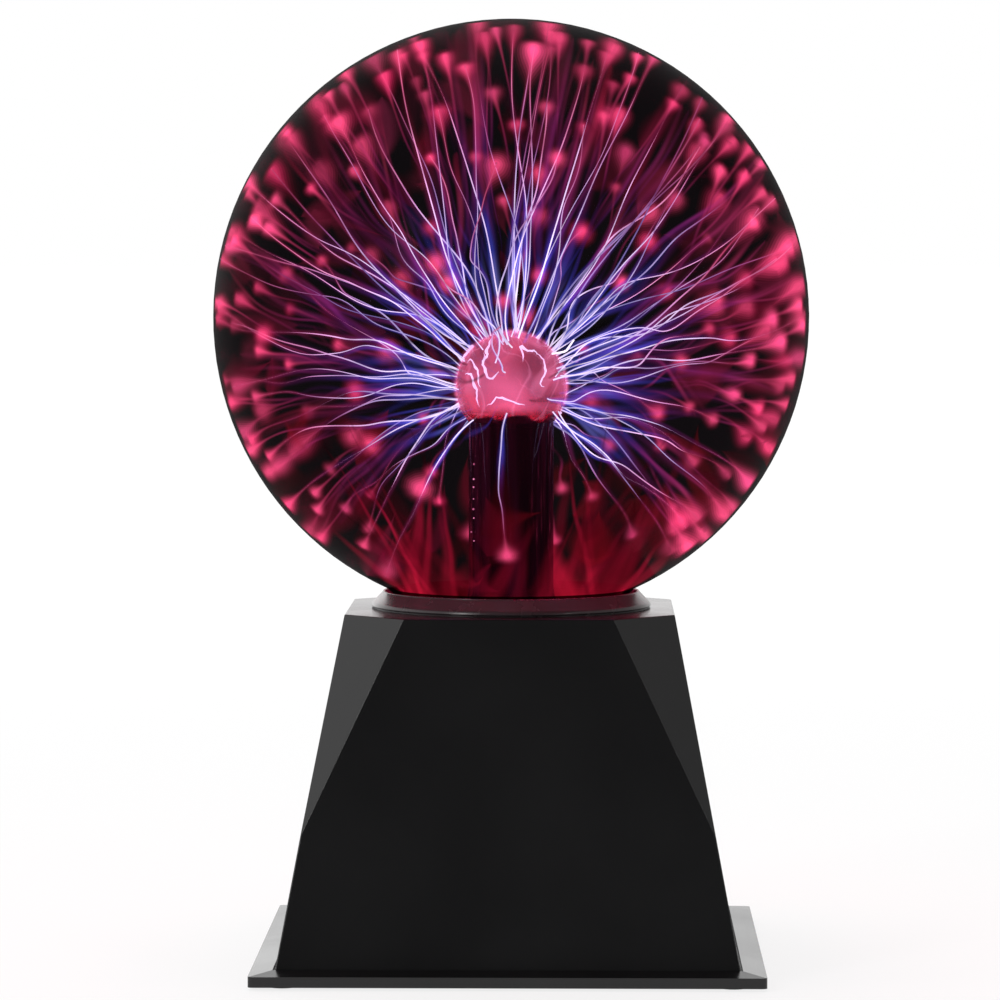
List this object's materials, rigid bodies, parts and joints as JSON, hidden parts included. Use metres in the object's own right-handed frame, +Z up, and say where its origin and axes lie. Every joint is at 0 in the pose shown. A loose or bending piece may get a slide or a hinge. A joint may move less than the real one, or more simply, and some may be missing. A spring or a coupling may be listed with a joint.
{
  "type": "plasma ball",
  "caption": "Glass plasma globe with a central electrode and glowing filaments, on a black faceted pyramid base with a square foot plate.",
  "frame": {"origin": "on the surface that the rubber feet stand on, under the centre of the base", "axes": "+Z up along the globe's and base's common axis, front towards -Y, back panel with the inlet and switch towards +Y, +X to the right seen from the front"},
  "size_m": [0.2032, 0.2032, 0.32],
  "materials": {
    "globe_glass": "clear polished",
    "stem_glass": "clear polished",
    "electrode_filling": "fine wool",
    "electrode_metal": "drawn",
    "liner_black": "matte",
    "base_plastic": "satin black moulding",
    "collar_plastic": "satin black moulding",
    "inner_plastic": "matte",
    "seal_rubber": "soft",
    "foot_rubber": "soft",
    "screw_steel": "zinc plated",
    "board_laminate": "solder mask",
    "ferrite": "sintered",
    "bobbin_nylon": "matte",
    "coil_tape": "polyester tape",
    "copper_wire": "enamelled",
    "heatsink_aluminium": "extruded",
    "component_epoxy": "moulded",
    "can_sleeve": "shrink sleeve",
    "film_box": "dipped",
    "resistor_body": "lacquered",
    "cable_silicone": "silicone",
    "lead_red": "PVC",
    "lead_black": "PVC",
    "lead_white": "PVC",
    "nickel_plate": "nickel plated",
    "switch_knob": "fine texture",
    "phenolic": "laminate"
  },
  "bodies": {
    "base": {"glass_globe": "globe_glass", "stem_tube": "stem_glass", "electrode_filling": "electrode_filling", "electrode_rod": "electrode_metal", "stem_plug": "seal_rubber", "stem_liner": "liner_black", "rod_terminal": "electrode_metal", "neck_cap": "inner_plastic", "flange_gasket": "seal_rubber", "clamp_ring": "screw_steel", "clamp_screws": "screw_steel", "neck_seal": "seal_rubber", "collar_ring": "collar_plastic", "foot_plate": "base_plastic", "rubber_feet": "foot_rubber", "tower_shell": "base_plastic", "base_screws": "screw_steel", "power_jack_body": "component_epoxy", "power_jack_pin": "nickel_plate", "power_jack_spring": "nickel_plate", "power_jack_nut": "nickel_plate", "switch_can": "nickel_plate", "switch_base": "phenolic", "switch_screws": "screw_steel", "circuit_board": "board_laminate", "board_screws": "screw_steel", "electrolytic_capacitors": "can_sleeve", "film_capacitor": "film_box", "resistors": "resistor_body", "timer_chip": "component_epoxy", "microphone": "heatsink_aluminium", "lead_headers": "lead_white", "ferrite_cores": "ferrite", "coil_bobbin": "bobbin_nylon", "secondary_winding": "coil_tape", "primary_winding": "copper_wire", "heatsink": "heatsink_aluminium", "power_transistor": "component_epoxy", "transistor_screw": "screw_steel", "hv_cable": "cable_silicone", "power_lead_red": "lead_red", "power_lead_black": "lead_black", "switch_leads": "lead_white"},
    "mode_switch": {"switch_knob": "switch_knob"}
  },
  "joints": [
    {"name": "mode_switch_slide", "type": "slide", "parent": "base", "child": "mode_switch", "axis": [1, 0, 0], "range_m": [0, 0.004]}
  ]
}
